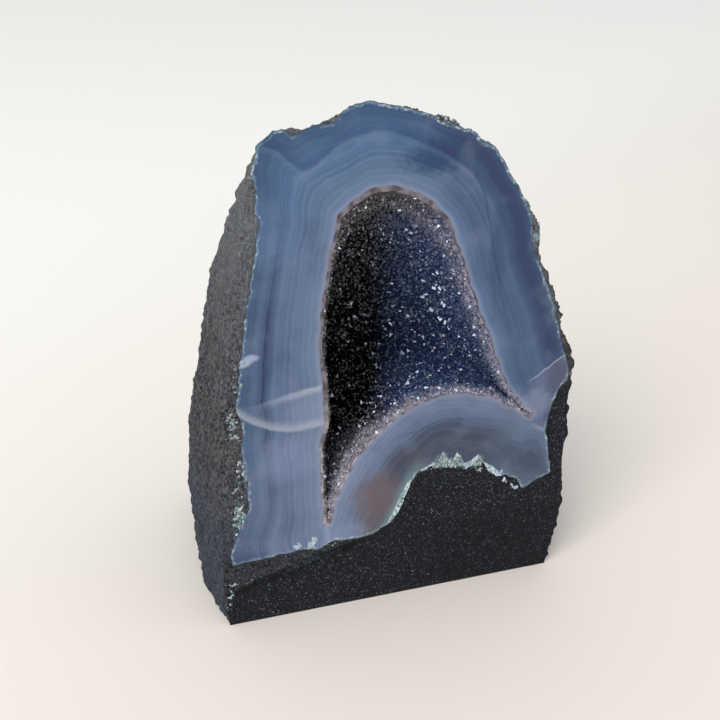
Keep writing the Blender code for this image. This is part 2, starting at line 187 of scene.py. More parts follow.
# Chunks of quartz and rock that cling to the edges: a line along the face, how many, their smallest and
# largest size, how far back they reach, and how pale they are from 0 to 1
CHUNKS = [
    ([(5.0, 66.0), (5.2, 58.0), (6.2, 49.0), (4.8, 40.0), (5.4, 32.0), (4.8, 24.0)], 200, 0.4, 1.4, 2.4, 0.0, 0.8),
    ([(3.8, 64.5), (4.6, 61.0), (5.2, 57.0)], 46, 0.4, 1.5, 1.0, 0.2, 0.8),
    ([(6.6, 50.5), (7.2, 46.5)], 36, 0.5, 2.0, 0.9, 0.35, 1.0),
    ([(4.6, 37.0), (6.2, 32.0), (7.2, 27.0)], 130, 0.5, 2.2, 1.6, 0.35, 1.0),
    ([(6.4, 70.0), (6.4, 86.0), (8.4, 100.0), (10.2, 112.0), (12.4, 126.0)], 70, 0.7, 1.8, 3.2, 0.0, 0.4),
    ([(6.0, 70.0), (6.6, 77.0)], 24, 0.4, 1.2, 1.6, 0.35, 0.75),
    ([(0.6, 3.0), (1.4, 9.0), (2.6, 16.0), (4.0, 22.0)], 24, 0.4, 1.3, 0.8, 0.2, 0.9),
    ([(14.8, 130.0), (16.1, 132.8), (18.5, 134.2), (23.1, 134.8)], 26, 0.3, 0.9, 1.2, 0.3, 0.7),
    ([(24.5, 135.0), (31.0, 138.8), (40.0, 140.3), (50.0, 138.6), (56.0, 136.8)], 140, 0.3, 1.2, 1.2, 0.0, 0.4),
    ([(55.0, 137.4), (61.0, 135.2), (65.0, 132.8), (68.8, 130.0), (72.8, 128.0), (77.0, 121.0), (81.2, 111.6),
      (84.6, 105.6)], 260, 0.4, 1.8, 2.0, 0.1, 0.85),
    ([(85.2, 100.6), (88.6, 90.6), (93.0, 78.6), (96.2, 68.6), (99.0, 60.6)], 110, 0.5, 1.5, 1.6, 0.0, 0.4),
    ([(83.8, 102.4), (85.4, 104.6)], 14, 0.6, 2.2, 0.8, 0.45, 0.85),
    ([(86.6, 48.2), (89.0, 46.8), (92.0, 46.4)], 16, 0.3, 0.9, 0.2, 0.0, 0.4),
    ([(46.2, 24.6), (48.0, 28.6), (49.8, 32.4), (51.6, 35.8), (54.0, 38.8)], 44, 0.3, 0.8, 0.0, 0.1, 0.75),
    ([(54.5, 39.4), (60.4, 39.8), (64.8, 38.8), (69.3, 38.0), (74.5, 36.0)], 60, 0.3, 0.9, 0.0, 0.15, 0.9),
    ([(76.5, 35.4), (78.4, 34.6), (80.1, 32.0), (82.3, 30.0), (83.2, 28.5)], 26, 0.4, 1.5, 0.0, 0.5, 1.0),
    ([(19.6, 21.8), (21.2, 22.2)], 3, 2.4, 3.2, 0.0, 0.76, 0.84),
    ([(23.8, 22.2), (25.4, 22.8)], 3, 2.6, 3.4, 0.0, 0.76, 0.84),
    ([(6.6, 77.6), (7.6, 78.6)], 5, 0.6, 1.2, 0.0, 0.6, 0.85),
    ([(4.0, 12.6), (10.0, 14.6), (18.0, 17.4), (26.0, 20.4), (34.0, 21.6), (44.0, 22.6)], 60, 0.2, 0.7, 0.0, 0.0, 0.75),
]
CHUNK_CLOSE = 0.3
CHUNK_SPREAD = 0.35
CHUNK_JITTER = 0.34
CHUNK_SINK = 0.12
CHUNK_FLAT = 0.4

# Camera: 55 mm lens, 26 degrees down, seen from the left of the face
CAMERA_PLACE = (-0.0867, -0.2743, 0.1966)
CAMERA_TURN = (math.radians(64.0), 0.0, math.radians(-17.48))
CAMERA_LENS = 55.0
CAMERA_SENSOR = 36.0

# Short names for the nodes that the materials use most
NODE_KINDS = {
    "times": ("Math", {"operation": "MULTIPLY"}),
    "plus": ("Math", {"operation": "ADD"}),
    "step": ("MapRange", {"interpolation_type": "SMOOTHSTEP"}),
    "mix": ("Mix", {"data_type": "RGBA"}),
    "scale": ("VectorMath", {"operation": "MULTIPLY"}),
    "noise": ("TexNoise", {}),
    "stripes": ("TexNoise", {"noise_dimensions": "1D"}),
    "cells": ("TexVoronoi", {}),
    "ramp": ("ValToRGB", {}),
    "line": ("FloatCurve", {}),
}


def on_face(across, up, back=0.0):
    """A point of the face's own coordinates as a place in the frame."""
    return Vector((FACE_LEFT + across * MM, FACE_Y + back * MM, up * MM))


def face_place(point):
    """A place in the frame as the face's own coordinates: across, up."""
    return (point[0] - FACE_LEFT) / MM, point[2] / MM


def linear(code):
    """An sRGB hex colour as the linear colour that a socket takes."""
    channels = [int(code[k:k + 2], 16) / 255 for k in (0, 2, 4)]
    return [c / 12.92 if c <= 0.04045 else ((c + 0.055) / 1.055) ** 2.4 for c in channels] + [1.0]


def only(piece):
    """Select one piece alone and make it the active one."""
    bpy.ops.object.select_all(action="DESELECT")
    piece.select_set(True)
    bpy.context.view_layer.objects.active = piece


def new_piece(name, mesh):
    """Put a mesh in the scene as a piece."""
    piece = bpy.data.objects.new(name, mesh)
    bpy.context.scene.collection.objects.link(piece)
    return piece


def copy_of(node, name):
    """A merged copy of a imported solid, to be worked on as a piece of its own."""
    piece = new_piece(name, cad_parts[node].data.copy())
    piece.data.materials.clear()
    only(piece)
    bpy.ops.mesh.customdata_custom_splitnormals_clear()
    bpy.ops.object.mode_set(mode="EDIT")
    bpy.ops.mesh.select_all(action="SELECT")
    bpy.ops.mesh.remove_doubles(threshold=MERGE_DISTANCE)
    bpy.ops.object.mode_set(mode="OBJECT")
    return piece


def joined(first, second):
    """Two pieces made into one, under the first one's name."""
    only(first)
    second.select_set(True)
    bpy.ops.object.join()
    return first


def apply_step(piece, kind, **settings):
    """Add a modifier to a piece and apply it."""
    only(piece)
    step = piece.modifiers.new(kind.title(), kind)
    for key, value in settings.items():
        setattr(step, key, value)
    bpy.ops.object.modifier_apply(modifier=step.name)


def on_cut(face):
    """Whether a face lies on the sawn and polished plane."""
    middle = face.center if hasattr(face, "center") else face.calc_center_median()
    return middle.y < FACE_Y + PLANE_SLACK * MM


def faces_towards(piece, node):
    """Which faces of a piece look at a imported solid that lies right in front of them."""
    wall = BVHTree.FromObject(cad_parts[node], bpy.context.evaluated_depsgraph_get())
    chosen = []
    for face in piece.data.polygons:
        spot = wall.find_nearest(face.center)
        in_front = (spot[0] - face.center).dot(face.normal) > 0
        chosen.append(bool(spot[3] < LAYER_REACH * MM and in_front and not on_cut(face)))
    return chosen


def open_up(piece, chosen, overrun):
    """Delete the chosen faces of a piece, then close the mouth that they leave, out in front of the cut."""
    form = bmesh.new()
    form.from_mesh(piece.data)
    form.faces.ensure_lookup_table()
    gone = [face for face, drop in zip(form.faces, chosen) if drop]
    bmesh.ops.delete(form, geom=gone, context="FACES")
    bmesh.ops.holes_fill(form, edges=[e for e in form.edges if e.is_boundary], sides=SMALL_HOLE)
    if overrun:
        grown = bmesh.ops.extrude_edge_only(form, edges=[e for e in form.edges if e.is_boundary])
        for item in grown["geom"]:
            if isinstance(item, bmesh.types.BMVert):
                item.co.y = FACE_Y - overrun * MM
    bmesh.ops.holes_fill(form, edges=[e for e in form.edges if e.is_boundary], sides=0)
    bmesh.ops.recalc_face_normals(form, faces=form.faces)
    form.to_mesh(piece.data)
    form.free()


def cut_away(piece, cutter):
    """Cut one piece's shape out of another and remove the cutter."""
    apply_step(piece, "BOOLEAN", operation="DIFFERENCE", solver="EXACT", object=cutter)
    bpy.data.objects.remove(cutter, do_unlink=True)


def ruffled(point):
    """Where the stone's own grain moves a point of the sawn outlines."""
    fade = max(1.0 - (point.y - FACE_Y) / (RUFFLE_DEPTH * MM), 0.0)
    across, up = face_place(point)
    outward = Vector((across - FACE_MIDDLE[0], 0.0, up - FACE_MIDDLE[1]))
    height = min(max((up - TOP_START[0]) / (TOP_START[1] - TOP_START[0]), 0.0), 1.0)
    inner = min(max((outward.length - 30.0) / 14.0, 0.0), 1.0)
    shift = outward.normalized() * TOP_REACH * height * inner
    for amount, width in RUFFLES:
        sample = Vector((point.x, 0.0, point.z)) / (width * MM)
        shift += noise.noise_vector(sample) * amount
    return point + Vector((shift.x, 0.0, shift.z)) * fade * MM


def grid_face(piece):
    """Cut the polished face into small squares that can carry the bands, and the rest into triangles."""
    form = bmesh.new()
    form.from_mesh(piece.data)
    low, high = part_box("agate_wall")
    for axis in (0, 2):
        normal = Vector((0.0, 0.0, 0.0))
        normal[axis] = 1.0
        lines = int((high[axis] - low[axis]) / (FACE_GRID * MM))
        for line in range(lines + 1):
            spot = low.copy()
            spot[axis] += (line + 0.5) * FACE_GRID * MM
            front = [f for f in form.faces if on_cut(f)]
            edges = list(dict.fromkeys(edge for face in front for edge in face.edges))
            verts = list(dict.fromkeys(vert for face in front for vert in face.verts))
            geometry = verts + edges + front
            bmesh.ops.bisect_plane(form, geom=geometry, dist=MERGE_DISTANCE, plane_co=spot, plane_no=normal)
    bmesh.ops.triangulate(form, faces=[f for f in form.faces if not on_cut(f)])
    form.to_mesh(piece.data)
    form.free()


def agate_piece():
    """The agate lining: its packed form with a finely cut face and ruffled outlines."""
    piece = copy_of("agate_wall", "polished_agate")
    hollow = faces_towards(piece, "amethyst_druse")
    mark = piece.data.attributes.new("hollow_wall", "FLOAT", "FACE")
    mark.data.foreach_set("value", [float(x) for x in hollow])
    grid_face(piece)
    for vert in piece.data.vertices:
        vert.co = ruffled(vert.co)
    write_bands(piece)
    return piece


def cut_outlines(piece):
    """The polished face's outlines as line segments: the outer one, and the one round the hollow."""
    form = bmesh.new()
    form.from_mesh(piece.data)
    mark = form.faces.layers.float["hollow_wall"]
    outer = []
    lining = []
    for edge in form.edges:
        sides = [face for face in edge.link_faces if not on_cut(face)]
        if len(sides) == 1 and len(edge.link_faces) == 2:
            ends = [face_place(vert.co) for vert in edge.verts]
            (lining if sides[0][mark] > 0.5 else outer).append(ends)
    form.free()
    return outer, lining


def distance_to(points, segments):
    """Shortest distance from every point to a set of line segments."""
    best = np.full(len(points), np.inf)
    for start, end in np.array(segments):
        along = end - start
        share = np.clip((points - start) @ along / max(along @ along, MERGE_DISTANCE), 0.0, 1.0)
        best = np.minimum(best, np.linalg.norm(points - start - share[:, None] * along, axis=1))
    return best


def sawn_across(segment):
    """Whether a piece of the agate's outline cuts through its bands instead of following them."""
    across, up = np.mean(segment, axis=0)
    left, right, top = SILL
    return (left < across < right and up < top) or (across > RIGHT_FOOT[0] and up < RIGHT_FOOT[1])


def write_bands(piece):
    """Note on every point of the agate how far it had grown from the rock to the crystals."""
    points = np.array([face_place(vert.co) for vert in piece.data.vertices])
    outer, lining = cut_outlines(piece)
    seams = list(zip(LEFT_SEAM, LEFT_SEAM[1:])) + list(zip(RIGHT_SEAM, RIGHT_SEAM[1:]))
    start = distance_to(points, [edge for edge in outer if not sawn_across(edge)])
    end = distance_to(points, lining + seams)
    across, up = points.T
    seam = np.interp(up, [place[1] for place in reversed(LEFT_SEAM)], [place[0] for place in reversed(LEFT_SEAM)])
    under = up < np.interp(across, [place[0] for place in DOME_TOP], [place[1] for place in DOME_TOP])
    for name, values in (
        ("rim", distance_to(points, outer)),
        ("lining", distance_to(points, lining)),
        ("growth", start / np.maximum(start + end, MERGE_DISTANCE)),
        ("dome", (across > seam) & under),
        ("seam", distance_to(points, seams)),
    ):
        mark = piece.data.attributes.new(name, "FLOAT", "POINT")
        mark.data.foreach_set("value", values.astype(np.float32))


def wall_marks(piece):
    """Which faces of the agate, or of a copy of it, line the hollow."""
    marks = np.zeros(len(piece.data.polygons), np.float32)
    piece.data.attributes["hollow_wall"].data.foreach_get("value", marks)
    return marks > 0.5


def plug_of(agate, name, overrun):
    """The agate's outer form, with its hollow filled."""
    plug = new_piece(name, agate.data.copy())
    front = np.array([on_cut(face) for face in plug.data.polygons])
    open_up(plug, wall_marks(plug) | front, overrun)
    return plug


def near_line(point, line):
    """Distance of a face coordinate from a bent line."""
    return distance_to(np.array([point]), list(zip(line, line[1:])))[0]


def roughen(piece, agate):
    """Lumps, grain, streaks and pits on the basalt; its base stays flat and its bed as it is."""
    bed = BVHTree.FromObject(agate, bpy.context.evaluated_depsgraph_get())
    sawn = FACE_Y + BASE_REST * MM
    moves = []
    for vert in piece.data.vertices:
        place = vert.co
        clear = min(max(bed.find_nearest(place)[3] / (BED_FADE * MM) - 0.1, 0.0), 1.0)
        if not clear:
            moves.append(Vector((0.0, 0.0, 0.0)))
            continue
        across, up = face_place(place)
        height = SIDE_SWELL * max(-vert.normal.x, 0.0)
        height += sum(noise.noise(place / (width * MM)) * amount for amount, width in LUMPS)
        amount, wide, tall = STREAK
        height += noise.noise(Vector((place.x / wide, place.y / wide, place.z / tall)) / MM) * amount
        width, least, depth = HOLES
        height -= max(noise.noise(place / (width * MM) + Vector((7.0, 0.0, 0.0))) - least, 0.0) * depth
        if place.y < sawn and vert.normal.y < -0.7:
            height = height * SAWN_SHARE - SAWN_INSET
            if across < GROOVE_REACH[0] and up < GROOVE_REACH[1]:
                gap = near_line((across, up), GROOVE)
                height -= GROOVE_DEPTH * math.exp(-(gap / GROOVE_WIDTH) ** 2)
        for pit_across, pit_up, size in PITS:
            gap = (place - on_face(pit_across, pit_up, size)).length / MM
            height -= PIT_DEPTH * math.exp(-(gap / size) ** 2)
        height *= min(max(up / BASE_REST, 0.0), 1.0) * clear
        moves.append(vert.normal * height * MM)
    for vert, move in zip(piece.data.vertices, moves):
        vert.co += move


def round_corners(piece):
    """Wear the sharp edges beside the polished face and round the base."""
    form = bmesh.new()
    form.from_mesh(piece.data)
    for rounds, chosen in WEAR:
        worn = [vert for vert in form.verts if chosen(*face_place(vert.co), (vert.co.y - FACE_Y) / MM)]
        for _ in range(rounds):
            bmesh.ops.smooth_vert(form, verts=worn, factor=0.5, use_axis_x=True, use_axis_y=True,
                                  use_axis_z=True)
    form.to_mesh(piece.data)
    form.free()


def rock_piece(agate):
    """The basalt coat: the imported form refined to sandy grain, with the agate's bed cut out."""
    piece = joined(copy_of("basalt_matrix", "sandy_basalt"), plug_of(agate, "agate_filling", 0.0))
    apply_step(piece, "REMESH", mode="VOXEL", voxel_size=ROCK_GRAIN * MM)
    round_corners(piece)
    cut_away(piece, plug_of(agate, "agate_bed", CAP_OVERRUN))
    roughen(piece, agate)
    piece.data.shade_smooth()
    return piece


def between(value, low, high):
    """Where a value lies between two others, from 0 to 1, with soft ends."""
    share = min(max((value - low) / (high - low), 0.0), 1.0)
    return share * share * (3.0 - 2.0 * share)


def thickness(place):
    """How thick the crust is, in millimetres: thin at the cut, thicker inside and at the top."""
    across, up = face_place(place)
    top = between(up, *HOLLOW_TOP)
    at_cut, inside = (low + (high - low) * top for low, high in (THICKNESS_AT_CUT, THICKNESS_INSIDE))
    at_cut += LEFT_THICKER * between(across, 36.0, 31.0) * between(up, 50.0, 58.0) * between(up, 80.0, 68.0)
    at_cut -= RIGHT_THINNER * between(across, 56.0, 62.0)
    return at_cut + (inside - at_cut) * between((place.y - FACE_Y) / MM, 0.0, THICKNESS_DEPTH)


def smooth_hollow(agate):
    """The open space of the hollow, drawn out through the face: the agate's inside less the crust."""
    space = new_piece("open_space", agate.data.copy())
    open_up(space, ~wall_marks(space), CAP_OVERRUN)
    apply_step(space, "REMESH", mode="VOXEL", voxel_size=LINING_CELL * MM)
    apply_step(space, "SMOOTH", factor=0.5, iterations=LINING_SMOOTHING)
    walls = BVHTree.FromObject(space, bpy.context.evaluated_depsgraph_get())
    moves = []
    for vert in space.data.vertices:
        across = walls.ray_cast(vert.co - vert.normal * PLANE_SLACK * MM, -vert.normal)[3]
        moves.append(-vert.normal * min(thickness(vert.co) * MM, (across or 0.0) * NARROW_SHARE))
    for vert, move in zip(space.data.vertices, moves):
        vert.co += move
    return space


def ring(edges):
    """The longest closed ring of vertices in a set of edges, in order, turning one way round the face."""
    ways = {}
    for edge in edges:
        for vert in edge.verts:
            ways.setdefault(vert, []).append(edge.other_vert(vert))
    rings = []
    seen = set()
    for start in ways:
        here = start
        found = []
        while here is not None and here not in seen:
            seen.add(here)
            found.append(here)
            here = next((vert for vert in ways[here] if vert not in seen), None)
        rings.append(found)
    longest = max(rings, key=len)
    turn = sum(a.co.x * b.co.z - b.co.x * a.co.z for a, b in zip(longest, longest[1:] + longest[:1]))
    return longest if turn > 0 else longest[::-1]


def close_rim(form, outer, inner):
    """Close the rim between two rings of vertices with a strip of triangles."""
    nearest = min(range(len(inner)), key=lambda index: (inner[index].co - outer[0].co).length)
    inner = inner[nearest:] + inner[:nearest + 1]
    outer = outer + outer[:1]
    i = 0
    j = 0
    while i < len(outer) - 1 or j < len(inner) - 1:
        ahead = (outer[i + 1].co - inner[j].co).length if i < len(outer) - 1 else math.inf
        beside = (outer[i].co - inner[j + 1].co).length if j < len(inner) - 1 else math.inf
        if ahead <= beside:
            form.faces.new((outer[i], outer[i + 1], inner[j]))
            i += 1
        else:
            form.faces.new((outer[i], inner[j + 1], inner[j]))
            j += 1


def crust_piece(agate):
    """The crust that the crystals stand on: the agate's hollow outside, a smooth wall inside."""
    space = smooth_hollow(agate)
    form = bmesh.new()
    form.from_mesh(agate.data)
    mark = form.faces.layers.float["hollow_wall"]
    bmesh.ops.delete(form, geom=[f for f in form.faces if f[mark] < 0.5], context="FACES")
    bmesh.ops.holes_fill(form, edges=[e for e in form.edges if e.is_boundary], sides=SMALL_HOLE)
    outside = set(form.faces)
    form.from_mesh(space.data)
    inside = [face for face in form.faces if face not in outside]
    edges = list(dict.fromkeys(edge for face in inside for edge in face.edges))
    verts = list(dict.fromkeys(vert for face in inside for vert in face.verts))
    bmesh.ops.bisect_plane(form, geom=inside + edges + verts, dist=MERGE_DISTANCE,
                           plane_co=(0.0, FACE_Y + RIM_STEP * MM, 0.0), plane_no=(0.0, -1.0, 0.0),
                           clear_outer=True)
    inside = [face for face in form.faces if face not in outside]
    wall = [(f.calc_center_median(), -f.normal, f.calc_area()) for f in inside]
    rim = [e for e in form.edges if e.is_boundary]
    outer = ring([edge for edge in rim if edge.link_faces[0] in outside])
    close_rim(form, outer, ring([edge for edge in rim if edge.link_faces[0] not in outside]))
    bmesh.ops.recalc_face_normals(form, faces=form.faces)
    mesh = bpy.data.meshes.new("crystal_crust")
    form.to_mesh(mesh)
    form.free()
    bpy.data.objects.remove(space, do_unlink=True)
    return new_piece("crystal_crust", mesh), wall


def paleness(place, facing):
    """How pale the quartz looks: milky by the face and at the top; on the dome's crest, facing up, and on the
    right-hand wall, facing the window, the paleness is painted light.
    """
    depth = (place.y - FACE_Y) / MM
    across, up = face_place(place)
    right = max(-facing.x, 0.0) * math.exp(-depth / 7.5) * 0.64
    reach = 3.4 + 9.0 * between(across, 47.0, 33.0)
    dome = max(facing.z, 0.0) ** 0.5 * math.exp(-depth / reach) * 1.15 if up < 66.0 else 0.0
    top = max(-facing.z, 0.0) * math.exp(-depth / 4.5) * 0.85
    left = max(facing.x, 0.0) * math.exp(-depth / 1.6) * 0.4
    return min(right + dome + top + left, 1.0)


def stand_crystals(wall, chance):
    """Small pointed crystals on the crust's wall, as one mesh."""
    weights = np.array([area for _, _, area in wall])
    order = np.random.default_rng(SEED).choice(len(wall), CRYSTAL_TRIES, p=weights / weights.sum())
    spacing = CRYSTAL_SPACING * MM
    taken = {}
    corners = []
    faces = []
    pale = []
    facet_tone_and_glint = []
    for index in order:
        centre, normal, area = wall[index]
        side = normal.orthogonal().normalized()
        across = normal.cross(side)
        reach = math.sqrt(area) / 2
        spot = centre + (side * chance.uniform(-1, 1) + across * chance.uniform(-1, 1)) * reach
        if spot.y < FACE_Y + CRYSTAL_INSET * MM:
            continue
        milk_and_light = paleness(spot, normal)
        fine = FINE_SHARE if milk_and_light > 0.25 else 1.0
        cell = tuple(int(math.floor(value / spacing)) for value in spot)
        near = [
            other
            for dx in (-1, 0, 1) for dy in (-1, 0, 1) for dz in (-1, 0, 1)
            for other in taken.get((cell[0] + dx, cell[1] + dy, cell[2] + dz), ())
        ]
        if any((other - spot).length < spacing * fine for other in near):
            continue
        taken.setdefault(cell, []).append(spot)
        lean = Vector([chance.uniform(-1, 1) for _ in range(3)]) * CRYSTAL_LEAN
        painted_glint = chance.random() < PAINTED_GLINT_SHARE
        size = fine + LARGE_CRYSTAL * (painted_glint or (milk_and_light > 0.35 and chance.random() < LARGE_SHARE))
        before = len(faces)
        add_crystal(corners, faces, spot, (normal + lean).normalized(), size, chance)
        milk_and_light *= chance.uniform(0.5, 1.3)
        pale += [milk_and_light * chance.uniform(0.5, 1.2) for _ in faces[before:]]
        # Each facet gets a random tone; on a glint crystal the facet towards the window is set to 1, a painted glint
        facet_tone_and_glint += [chance.random() * DULL_SPARK for _ in faces[before:]]
        if painted_glint:
            facet_tone_and_glint[before + painted_glint_facet(corners, faces[before:])] = 1.0
    mesh = bpy.data.meshes.new("crystals")
    mesh.from_pydata(corners, [], faces)
    mesh.attributes.new("pale", "FLOAT", "FACE").data.foreach_set("value", pale)
    mesh.attributes.new("facet_tone_and_glint", "FLOAT", "FACE").data.foreach_set("value", facet_tone_and_glint)
    return new_piece("crystals", mesh)


def painted_glint_facet(corners, faces):
    """Which facet of a crystal faces the window most: that facet gets a painted glint, a bright colour in place of the
    window's reflection.
    """
    facing = []
    for face in faces:
        first, second, third = (corners[index] for index in face[:3])
        facing.append((second - first).cross(third - first).normalized().dot(TO_WINDOW))
    return facing.index(max(facing))


def add_crystal(corners, faces, spot, point, size, chance):
    """One six-sided crystal: a short prism with a pyramid on it, its root sunk in the crust."""
    half = chance.uniform(*CRYSTAL_WIDTH) / 2 * size * MM
    height = chance.uniform(*CRYSTAL_REACH) * size * MM
    side = point.orthogonal().normalized()
    across = point.cross(side)
    start = len(corners)
    spin = chance.uniform(0, math.tau)
    for level in (-CRYSTAL_SINK * height, CRYSTAL_SHOULDER * height):
        for k in range(6):
            turn = spin + k * math.tau / 6
            ring = (side * math.cos(turn) + across * math.sin(turn)) * half
            corners.append(spot + point * level + ring)
    off = (side * chance.uniform(-1, 1) + across * chance.uniform(-1, 1)) * half * 0.3
    corners.append(spot + point * height + off)
    faces.append([start + k for k in (5, 4, 3, 2, 1, 0)])
    for k in range(6):
        after = (k + 1) % 6
        faces.append((start + k, start + after, start + 6 + after, start + 6 + k))
        faces.append((start + 6 + k, start + 6 + after, start + 12))
    for corner in corners[start:]:
        corner.y = max(corner.y, FACE_Y + CRYSTAL_CLEAR * MM)


def along(line, share):
    """The point at a share of the way along a bent line."""
    place = share * (len(line) - 1)
    start = min(int(place), len(line) - 2)
    return Vector(line[start]).lerp(Vector(line[start + 1]), place - start)


def edge_chunks(rock, agate, chance):
    """Chunks of quartz and rock, half sunk in the surfaces along the edges of the face."""
    trees = [BVHTree.FromObject(ground, bpy.context.evaluated_depsgraph_get()) for ground in (rock, agate)]
    form = bmesh.new()
    tone = form.faces.layers.float.new("tone")
    for line, count, least, most, reach, dark, pale in CHUNKS:
        for _ in range(count):
            across, up = along(line, chance.random())
            spread = CHUNK_CLOSE + CHUNK_SPREAD * reach
            start = on_face(across + chance.gauss(0, spread), up + chance.gauss(0, spread),
                            chance.uniform(0.0, reach))
            found = [tree.find_nearest(start) for tree in (trees[:1] if reach else trees)]
            spot, normal, _, _ = min(found, key=lambda place: place[3])
            size = (least + (most - least) * chance.random() ** 2) * MM
            shade = chance.uniform(dark, pale)
            made = bmesh.ops.create_icosphere(form, subdivisions=1, radius=size / 2)["verts"]
            stretch = [chance.uniform(0.6, 1.3) for _ in range(3)]
            turn = Vector([chance.uniform(-1, 1) for _ in range(3)]).to_track_quat("Z", "Y")
            for vert in made:
                jitter = Vector([chance.uniform(-1, 1) for _ in range(3)]) * CHUNK_JITTER * size / 2
                corner = turn @ (Vector([a * b for a, b in zip(vert.co, stretch)]) + jitter)
                corner -= normal * corner.dot(normal) * CHUNK_FLAT
                vert.co = spot - normal * CHUNK_SINK * size + corner
            for face in {face for vert in made for face in vert.link_faces}:
                face[tone] = shade
    mesh = bpy.data.meshes.new("edge_quartz")
    form.to_mesh(mesh)
    form.free()
    return new_piece("edge_quartz", mesh)


def mark_crust(crust):
    """Paleness of the crust itself: its sawn rim is milky; its wall takes half the crystals' paleness, partly milk and
    partly painted light, so the gaps between crystals read darker as painted shade.
    """
    cut = [float(on_cut(face)) for face in crust.data.polygons]
    pale = [paleness(face.center, face.normal) * 0.5 for face in crust.data.polygons]
    crust.data.attributes.new("pale", "FLOAT", "FACE").data.foreach_set("value", pale)
    crust.data.attributes.new("cut", "FLOAT", "FACE").data.foreach_set("value", cut)


def add(tree, kind, *feeds, stops=(), line=(), handles="VECTOR", **settings):
    """Add a node; each feed is a value for the next open socket, or the socket or node that drives it."""
    kind, presets = NODE_KINDS.get(kind, (kind, {}))
    node = tree.nodes.new("ShaderNode" + kind)
    for key, value in {**presets, **settings}.items():
        setattr(node, key, value)
    for socket, feed in zip([socket for socket in node.inputs if socket.enabled], feeds):
        if isinstance(feed, bpy.types.Node):
            feed = next(output for output in feed.outputs if output.enabled)
        if isinstance(feed, bpy.types.NodeSocket):
            tree.links.new(feed, socket)
        elif feed is not None:
            socket.default_value = feed
    for place, _ in stops[2:]:
        node.color_ramp.elements.new(place)
    for index, (place, code) in enumerate(stops):
        node.color_ramp.elements[index].position = place
        node.color_ramp.elements[index].color = linear(code)
    for across, up in line[1:-1]:
        node.mapping.curves[0].points.new(across / LINE_BOX[0], up / LINE_BOX[1])
    for index, (across, up) in enumerate(line):
        node.mapping.curves[0].points[index].location = (across / LINE_BOX[0], up / LINE_BOX[1])
        node.mapping.curves[0].points[index].handle_type = handles
    if line:
        node.mapping.update()
    return node


def layered(tree, colour, layers):
    """Colours laid over one another: each has a share, a strength and a colour."""
    for share, strength, code in layers:
        cover = add(tree, "times", share, strength)
        over = linear(code) if isinstance(code, str) else code
        colour = add(tree, "mix", cover, colour, over)
    return colour


def new_material(name, roughness):
    """An empty material: its node tree and its shader."""
    material = bpy.data.materials.new(name)
    material.use_nodes = True
    shader = material.node_tree.nodes["Principled BSDF"]
    shader.inputs["Roughness"].default_value = roughness
    return material, material.node_tree, shader


def millimetres(tree):
    """The place on the piece in millimetres, and its three axes."""
    place = add(tree, "TexCoord").outputs["Object"]
    place = add(tree, "scale", place, (1.0 / MM,) * 3)
    return place, add(tree, "SeparateXYZ", place).outputs


def over_line(tree, across, up, line, warp, handles="VECTOR"):
    """Height above a line across the face, with some waviness."""
    share = add(tree, "times", across, 1.0 / LINE_BOX[0])
    level = add(tree, "line", 1.0, share, line=line, handles=handles)
    drop = add(tree, "times", level, -LINE_BOX[1])
    return add(tree, "plus", add(tree, "plus", up, drop), warp)


def both(tree, *shares):
    """Where all the shares hold."""
    result = shares[0]
    for share in shares[1:]:
        result = add(tree, "times", result, share)
    return result


